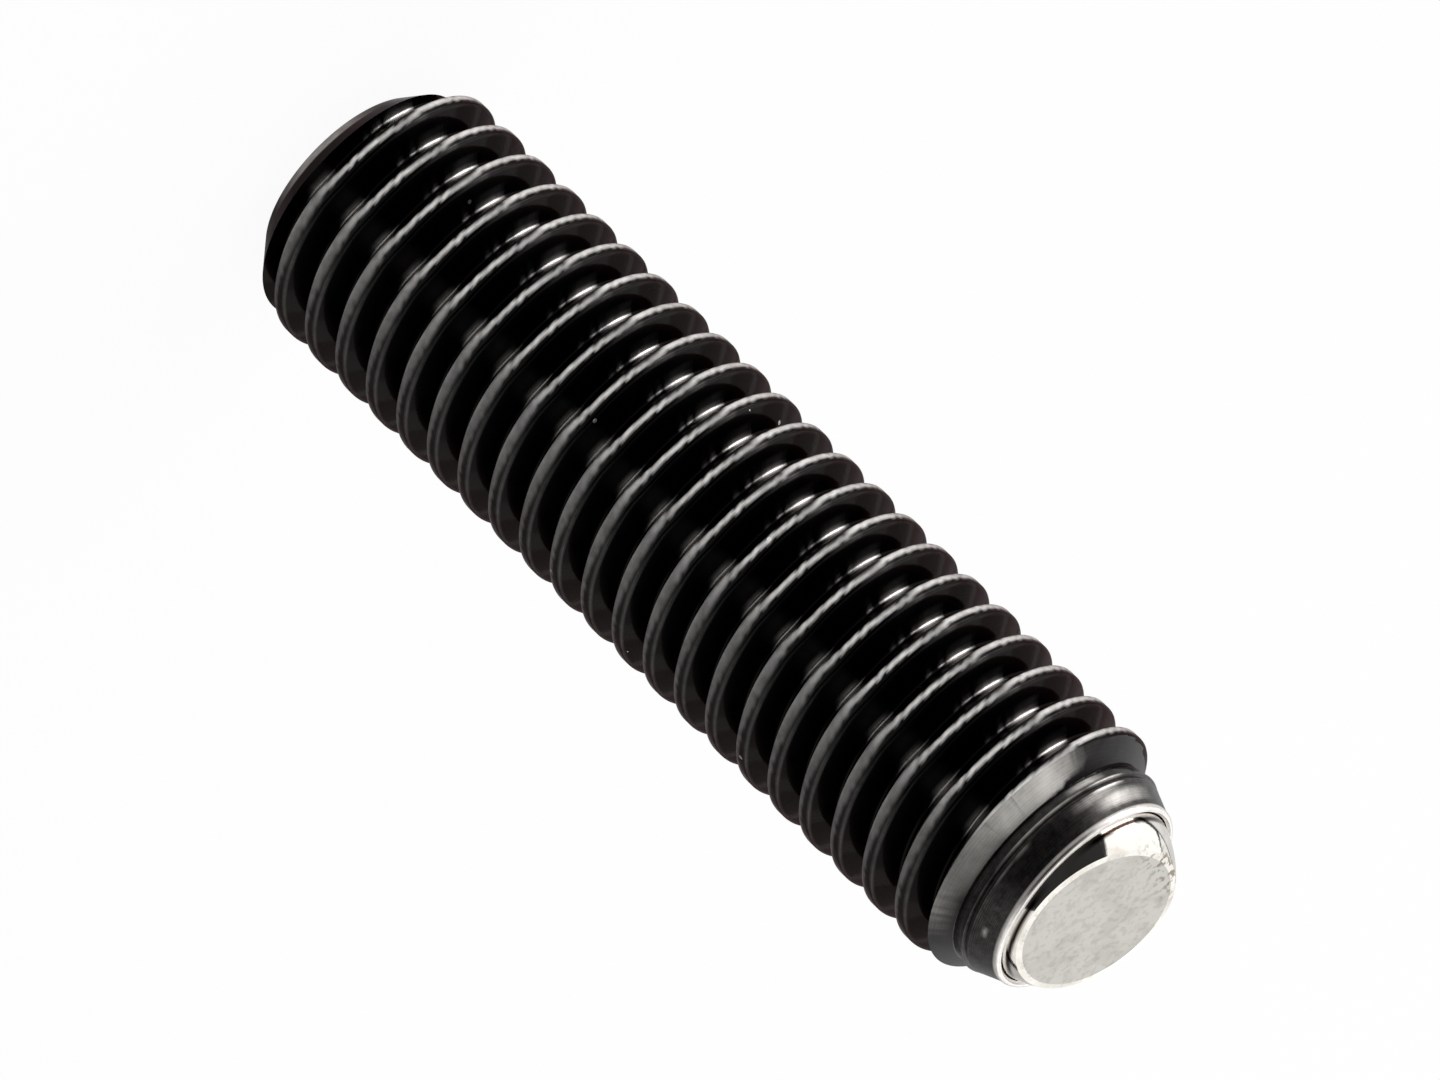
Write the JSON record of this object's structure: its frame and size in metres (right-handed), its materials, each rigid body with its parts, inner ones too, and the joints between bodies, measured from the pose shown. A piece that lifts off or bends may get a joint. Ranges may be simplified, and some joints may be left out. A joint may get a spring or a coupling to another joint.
{
  "type": "ball-ended thrust screw",
  "caption": "Headless right-hand threaded screw with a hex socket in its rear end and a flat-faced steel ball that swivels in a rolled lip at its front end.",
  "frame": {"origin": "on the screw's axis, at the centre of the flat rear face with the hex socket", "axes": "+Z along the screw's axis from the rear face to the ball; -Y is the side seen from the front"},
  "size_m": [0.008, 0.008, 0.031],
  "materials": {
    "blackened_steel": "black oxide, oiled",
    "ball_steel": "hardened and polished, flat ground"
  },
  "bodies": {
    "screw": {"screw_body": "blackened_steel"},
    "ball": {"swivel_ball": "ball_steel"}
  },
  "joints": [
    {"name": "ball_swivel", "type": "hinge", "parent": "screw", "child": "ball", "pos_m": [0, 0, 0.02877], "axis": [0.8192, 0.5736, 0], "range_deg": [-27, 3]}
  ]
}
